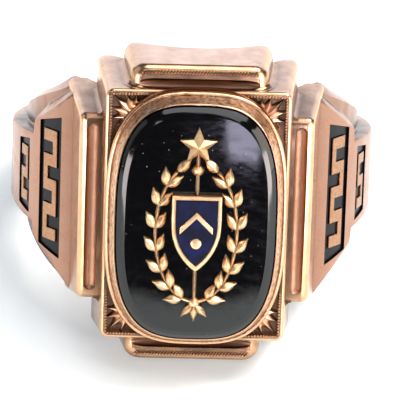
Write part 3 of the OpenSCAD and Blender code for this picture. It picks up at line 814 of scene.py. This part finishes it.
class RING_OT_stone(bpy.types.Operator):
    """Make the stone: a black tablet with a dark edge, a narrow bevel and a crowned table."""

    bl_idname = "ring.stone"
    bl_label = "Stone"

    def execute(self, context):
        s = stone_sizes()
        width, height = s.stone_w - 2 * s.gap, s.stone_h - 2 * s.gap
        edge_z = s.table_z - s.crown
        # Inset from the outline, and height
        profile = [
            (0.0, s.frame_z - s.seat + s.gap), (0.0, s.lip_z), (0.02, s.lip_z + 0.08),
            (0.24, edge_z - 0.13), (0.27, edge_z - 0.11), (0.5, edge_z - 0.01), (0.53, edge_z + 0.003),
        ]
        rings = [oval(width - 2 * k, height - 2 * k, z) for k, z in profile]
        inner = profile[-1][0]
        for share in (0.96, 0.9, 0.82, 0.72, 0.6, 0.45, 0.3, 0.15):
            z = s.table_z - s.crown * share**4
            rings.append(oval((width - 2 * inner) * share, (height - 2 * inner) * share, z))
        bm = bmesh.new()
        loft(bm, rings)
        piece(bm, "stone_tablet", ["polished_onyx"], ["stone"], math.radians(12))
        return {"FINISHED"}


def ridge(bm, path, base):
    """A ridge along a path of (x, y, half width, height) points, standing on a height."""
    # Shares of the half width and of the height, round the section
    section = [(-1, 0), (1, 0), (1, 0.55), (0.55, 0.84), (0.1, 1), (-0.1, 1), (-0.55, 0.84), (-1, 0.55)]
    rings = []
    for i, (x, y, half, tall) in enumerate(path):
        before, after = path[max(i - 1, 0)], path[min(i + 1, len(path) - 1)]
        along = (Vector(after[:2]) - Vector(before[:2])).normalized()
        rings.append([
            (x + along.y * half * d, y - along.x * half * d, base + tall * h) for d, h in section
        ])
    loft(bm, rings)


def leaf(bm, foot, angle, long, wide, tall, base):
    """A pointed leaf with a ridge, from its foot, turned by an angle from +Y."""
    path = []
    for i in range(9):
        t = i / 8
        half = wide / 2 * max(math.sin(math.pi * t**0.8), 0.12)
        path.append((foot[0] - long * t * math.sin(angle), foot[1] + long * t * math.cos(angle), half,
                     tall * (0.5 + 0.5 * math.sin(math.pi * t**0.7))))
    ridge(bm, path, base)


def plate(bm, outline, low, high, soft):
    """A flat piece of an outline, its upper edges rounded."""
    made = bmesh.new()
    loft(made, [[(x, y, z) for x, y in outline] for z in (low, high)])
    tidy(made)
    upper = [e for e in made.edges if min(v.co.z for v in e.verts) > high - 1e-4]
    round_edges(made, upper, soft, 2)
    merge_in(bm, made)


def merge_in(bm, other):
    """Adds another mesh to a mesh."""
    mesh = bpy.data.meshes.new("part")
    other.to_mesh(mesh)
    other.free()
    bm.from_mesh(mesh)
    bpy.data.meshes.remove(mesh)


def bead(bm, place, size, angle=0.0):
    """A small round bead, or a slanted one, of a length, width and height."""
    made = bmesh.new()
    bmesh.ops.create_icosphere(made, subdivisions=2, radius=0.5)
    turned = Matrix.Translation(place) @ Matrix.Rotation(angle, 4, "Z")
    made.transform(turned @ Matrix.Diagonal((*size, 1)))
    merge_in(bm, made)


def wreath_point(s, angle, side, step):
    """A point on the wreath's oval, at an angle from its foot, moved out by a step."""
    x = side * (s.wreath_w / 2 + step) * math.sin(angle)
    return x, -s.wreath_low - (s.wreath_h / 2 + step) * math.cos(angle)


def shield(width, height, middle):
    """The outline of a shield with a flat top and sides that curve to a point."""
    low = 0.62 * height
    r = (low * low + width * width / 4) / width
    top, turn_y = middle + height / 2, middle + low - height / 2
    side = [(width / 2, top), (width / 2, turn_y)]
    for i in range(1, 17):
        y = low * i / 16
        side.append((max(math.sqrt(r * r - y * y) - r + width / 2, 0), turn_y - y))
    return side + [(-x, y) for x, y in reversed(side[:-1])]


class RING_OT_crest(bpy.types.Operator):
    """Make the gold crest: a laurel wreath, a shield with a chevron, and a star."""

    bl_idname = "ring.crest"
    bl_label = "Crest"

    def execute(self, context):
        s = in_mm(context.scene.ring_crest_sizes)
        base = stone_sizes().table_z + 0.02
        root = base - 0.12  # everything starts a little inside the stone's table
        stem, stem_t, leaf_t = 0.22, 0.42, s.leaf_t + 0.12
        first, end = math.radians(16), math.radians(150)
        bm = bmesh.new()
        for side in (-1, 1):
            points = [wreath_point(s, end * i / 30, side, -stem / 2) for i in range(31)]
            ridge(bm, [(x, y, stem / 2, stem_t) for x, y in points], root)
            for i in range(8):
                a = first + i * (end - first) / 7
                along = -side * math.atan2(s.wreath_w * math.cos(a), s.wreath_h * math.sin(a))
                foot = wreath_point(s, a, side, -stem / 2)
                for lean in (-1, 1) if i < 7 else (0,):
                    angle = along + lean * math.radians(30)
                    leaf(bm, foot, angle, s.leaf_l, s.leaf_w * 1.3, leaf_t, root)
        ridge(bm, [(0, y, stem / 2, stem_t) for y in (KNOT_Y, -2, 2, STAR_Y)], root)
        for i in (-1, 0, 1):
            angle = math.pi + i * math.radians(42)
            leaf(bm, (0, KNOT_Y), angle, s.leaf_l * 0.95, s.leaf_w, leaf_t, root)
        for y in (KNOT_Y, TIE_Y):
            bead(bm, (0, y, root), (0.8, 0.8, 1.1))
        # The star, with a facet on each side of every point
        rings = []
        for tall, scale in ((root, 1), (base + s.star_t * 0.25, 1), (base + s.star_t, 0.02)):
            ring = []
            for i in range(10):
                r = s.star_r * (0.45 if i % 2 else 1) * scale
                a = math.pi / 2 + math.pi * i / 5
                ring.append((r * math.cos(a), STAR_Y + r * math.sin(a), tall))
            rings.append(ring)
        loft(bm, rings)
        # The shield, with a bevelled rim round its sunk field
        top, floor = base + s.shield_t, base + s.shield_t - s.field_depth
        rim = s.shield_rim
        middle = -s.wreath_low
        rings = []
        for inset, z in ((0, root), (0, top - 0.12), (0.05, top - 0.03), (0.1, top - 0.004),
                         (rim - 0.05, top), (rim, top - 0.06), (rim, floor)):
            outline = shield(s.shield_w - 2 * inset, s.shield_h - 2.6 * inset, middle + 0.3 * inset)
            rings.append([(x, y, z) for x, y in outline])
        loft(bm, rings)
        x, bar = s.shield_w / 2 - 2 * rim, 0.14 * s.shield_w
        chevron = [(-x, 0), (0, x), (x, 0), (x, bar), (0, x + bar), (-x, bar)]
        plate(bm, [(px, py + middle) for px, py in chevron], floor - 0.05, top, 0.05)
        roundel_y = middle - 0.12 * s.shield_h
        r, turns = 0.11 * s.shield_w, [math.tau * i / 32 for i in range(32)]
        roundel = [(r * math.cos(a), r * math.sin(a) + roundel_y) for a in turns]
        plate(bm, roundel, floor - 0.05, top, 0.06)
        piece(bm, "crest_relief", ["yellow_gold"], ["crest"], math.radians(25))
        return {"FINISHED"}


class RING_OT_frets(bpy.types.Operator):
    """Make the gold frets that stand in the shoulder panels."""

    bl_idname = "ring.frets"
    bl_label = "Frets"

    def execute(self, context):
        s = body_sizes()
        p = in_mm(context.scene.ring_panel_sizes)
        low, high = s.outer_r - p.depth - 0.1, s.outer_r - 0.02
        bm = bmesh.new()
        for side, width, height, angle, bars in each_panel(p):
            made = bmesh.new()
            plate(made, fret_outline(width, height, bars), low, high, 0.09)
            to_shoulder(made, angle, side)
            merge_in(bm, made)
        piece(bm, "frets", ["antiqued_gold"], ["ring_body"])
        return {"FINISHED"}


def fret_outline(width, height, bars):
    """The outline of level bars joined at alternate ends."""
    across = width * FRET_SHARE
    span = height * PANEL_TAPER - (width - across)
    pitch = span / (bars - 0.5)
    bar, post, x = pitch / 2, across / 3, across / 2
    low = [i * pitch - span / 2 for i in range(bars)]
    right, left = [(x, low[0])], [(-x, low[0])]
    for i in range(bars - 1):
        edge, sign = (left, -1) if i % 2 == 0 else (right, 1)
        far = -sign * (x - post)
        upper, lower = low[i] + bar, low[i + 1]
        edge += [(sign * x, upper), (far, upper), (far, lower), (sign * x, lower)]
    top = low[-1] + bar
    return right + [(x, top), (-x, top)] + left[::-1]


class RING_OT_ornament(bpy.types.Operator):
    """Make the cast ornament: corner palmettes, beaded edges and the corded lines on the tabs."""

    bl_idname = "ring.ornament"
    bl_label = "Ornament"

    def execute(self, context):
        s = body_sizes()
        floor = s.frame_z - s.spandrel
        inner_x, inner_y = s.frame_w / 2 - s.frame_rim, s.frame_h / 2 - s.frame_rim
        edge_x, edge_y, edge_z = inner_x + 0.02, inner_y + 0.02, s.frame_z - 0.02
        fan, pitch = s.frame_w / 8, 0.19
        palmettes = bmesh.new()
        beads = bmesh.new()
        for sx in (-1, 1):
            for sy in (-1, 1):
                foot = (sx * (inner_x - fan), sy * (inner_y - fan))
                middle = math.atan2(-sx, sy)
                for k in range(-3, 4):
                    long = fan * (1.2 - 0.13 * abs(k))
                    leaf(palmettes, foot, middle + k * math.radians(25), long, 0.5, 0.5, floor - 0.06)
                bead(palmettes, (*foot, floor), (0.7, 0.7, 0.9))
                # Beads along both edges of the corner field, from its corner
                for i in range(15):
                    place = (sx * edge_x, sy * (inner_y - 0.12 - pitch * i), edge_z)
                    bead(beads, place, (0.17, 0.15, 0.16))
                for i in range(13):
                    place = (sx * (inner_x - 0.12 - pitch * i), sy * edge_y, edge_z)
                    bead(beads, place, (0.15, 0.17, 0.16))
        # The corded lines are rows of slanted beads, 7 mm long
        cord, count = 7.0, 37
        for up in (-1, 1):
            for i in range(count):
                x = cord * (i / (count - 1) - 0.5)
                bead(beads, (x, up * (s.tab_h / 2 - 0.42), s.tab_z + 0.01), (0.12, 0.38, 0.2), -0.7)
        piece(palmettes, "palmettes", ["rubbed_gold"], ["ring_body"])
        piece(beads, "beading", ["antiqued_gold"], ["ring_body"])
        return {"FINISHED"}


class RING_OT_enamel(bpy.types.Operator):
    """Give the enamel pieces their fired finishes."""

    bl_idname = "ring.enamel"
    bl_label = "Enamel"

    def execute(self, context):
        for node, made in frame["nodes"].items():
            if node.startswith("enamel_") or node == "crest_enamel":
                tone = "blue" if node == "crest_enamel" else "black"
                made.data.materials.clear()
                made.data.materials.append(finish_of(f"fired_{tone}_enamel"))
        return {"FINISHED"}


def softbox(name, place, size, glow, tint="#FFFFFF"):
    """A soft light of a size in metres that faces the ring, as bright all over as glow."""
    lamp = bpy.data.lights.new(name, "AREA")
    lamp.shape = "RECTANGLE"
    lamp.size, lamp.size_y = size
    lamp.energy = glow * math.pi * size[0] * size[1]
    lamp.color = linear(tint)[:3]
    made = bpy.data.objects.new(name, lamp)
    made.location = place
    made.rotation_euler = (Vector((0, 0, 0.01)) - Vector(place)).to_track_quat("-Z", "Y").to_euler()
    bpy.context.collection.objects.link(made)


class RING_OT_stage(bpy.types.Operator):
    """Make the pale floor, the soft studio light and the camera."""

    bl_idname = "ring.stage"
    bl_label = "Stage"

    def execute(self, context):
        bm = bmesh.new()
        bmesh.ops.create_grid(bm, x_segments=8, y_segments=8, size=0.9)
        bmesh.ops.translate(bm, vec=(0, 0.1, 0), verts=bm.verts)
        mesh = bpy.data.meshes.new("floor")
        bm.to_mesh(mesh)
        bm.free()
        floor = bpy.data.objects.new("floor", mesh)
        context.collection.objects.link(floor)
        material, tree, shader, coords = new_finish("matte_board")
        grain = add(tree, "TexNoise", Vector=coords, Scale=900.0, Detail=2.0)
        stops = ((0.3, context.scene.ring_finishes.floor), (0.7, "#F1F8F9"))
        tone = add(tree, "ValToRGB", stops=stops, i0=grain.outputs[0]).outputs[0]
        # The board is matte milk glass with a grain of 1 mm, faintly lit from below
        put(tree, shader, Base_Color=tone, Roughness=0.85, Emission_Color=tone,
            Emission_Strength=0.24)
        mesh.materials.append(material)

        world = bpy.data.worlds.new("studio")
        world.use_nodes = True
        sky = world.node_tree.nodes["Background"]
        put(world.node_tree, sky, Color=(0.9, 0.93, 1.0, 1), Strength=0.08)
        context.scene.world = world
        context.scene.view_settings.view_transform = "Standard"
        # The key throws the shadow to the left, the top light draws the stone's bevel, and each
        # card shows in the gold that faces it
        softbox("key", (0.26, 0.02, 0.42), (0.2, 0.2), 14.0, "#FFF8F0")
        softbox("top", (0.08, -0.04, 0.36), (0.34, 0.38), 2.7, "#FAFBFF")
        softbox("back_card", (0.0, 0.60, 0.12), (1.4, 0.35), 1.9, "#CFDFFF")
        softbox("left_card", (-0.45, 0.0, 0.2), (0.4, 0.4), 0.6)
        softbox("right_card", (0.42, -0.22, 0.15), (0.3, 0.3), 4.0, "#FFF4E8")
        softbox("front_left_card", (-0.31, -0.33, 0.03), (0.36, 0.14), 10.0, "#FFF4F2")
        softbox("front_right_card", (0.31, -0.34, 0.04), (0.36, 0.16), 9.5, "#FFF4F2")
        softbox("front_top", (0.0, -0.32, 0.30), (0.36, 0.05), 4.0, "#FFFAF4")
        softbox("window", (0.060, -0.39, 0.095), (0.06, 0.05), 8.5, "#E6E2FF")

        view = bpy.data.cameras.new("view")
        camera = bpy.data.objects.new("view", view)
        context.collection.objects.link(camera)
        # From 240 mm off, at 16 pixels to the millimetre in a picture 400 pixels wide
        far, scale, width = 0.24, 16000.0, 400
        view.sensor_width = 36
        view.lens = view.sensor_width * far * scale / width
        view.clip_start, view.clip_end = 0.01, 10
        # Turned 2.2 degrees aside, 16.5 above the face's own line of sight and rolled by 2.75
        a, e = math.radians(-2.2), math.asin(OUT.z) + math.radians(16.5)
        back = Vector((math.sin(a) * math.cos(e), -math.cos(a) * math.cos(e), math.sin(e)))
        face = POSE @ Vector((0, 0, body_sizes().frame_z))
        turned = (-back).to_track_quat("-Z", "Y") @ Quaternion((0, 0, 1), math.radians(2.75))
        right, up = turned @ Vector((1, 0, 0)), turned @ Vector((0, 1, 0))
        camera.rotation_mode = "QUATERNION"
        camera.rotation_quaternion = turned
        # The face's middle lies 4.5 pixels left of the picture's middle and 16.5 below it
        camera.location = face + back * far + right * (4.5 / scale) + up * (16.5 / scale)
        context.scene.camera = camera
        return {"FINISHED"}


GROUPS = {
    "ring_body_sizes": BodySizes,
    "ring_panel_sizes": PanelSizes,
    "ring_stone_sizes": StoneSizes,
    "ring_crest_sizes": CrestSizes,
    "ring_finishes": Finishes,
}
OPERATORS = (
    RING_OT_stage,
    RING_OT_head,
    RING_OT_band,
    RING_OT_bezel,
    RING_OT_stone,
    RING_OT_crest,
    RING_OT_frets,
    RING_OT_ornament,
    RING_OT_enamel,
)


class RING_PT_panel(bpy.types.Panel):
    """The ring's sizes, finishes and pieces, in the sidebar."""

    bl_idname = "RING_PT_panel"
    bl_label = "Class Ring"
    bl_space_type = "VIEW_3D"
    bl_region_type = "UI"
    bl_category = "Class Ring"

    def draw(self, context):
        for operator in OPERATORS:
            self.layout.operator(operator.bl_idname)
        for name, group in GROUPS.items():
            box = self.layout.box()
            for key in group.__annotations__:
                box.prop(getattr(context.scene, name), key)


def register():
    for each in (*GROUPS.values(), *OPERATORS, RING_PT_panel):
        bpy.utils.register_class(each)
    for name, group in GROUPS.items():
        setattr(bpy.types.Scene, name, bpy.props.PointerProperty(type=group))


def unregister():
    for name in GROUPS:
        delattr(bpy.types.Scene, name)
    for each in reversed((*GROUPS.values(), *OPERATORS, RING_PT_panel)):
        bpy.utils.unregister_class(each)


def main():
    register()
    for operator in OPERATORS:
        kind, name = operator.bl_idname.split(".")
        getattr(getattr(bpy.ops, kind), name)()


if __name__ == "__main__":
    main()
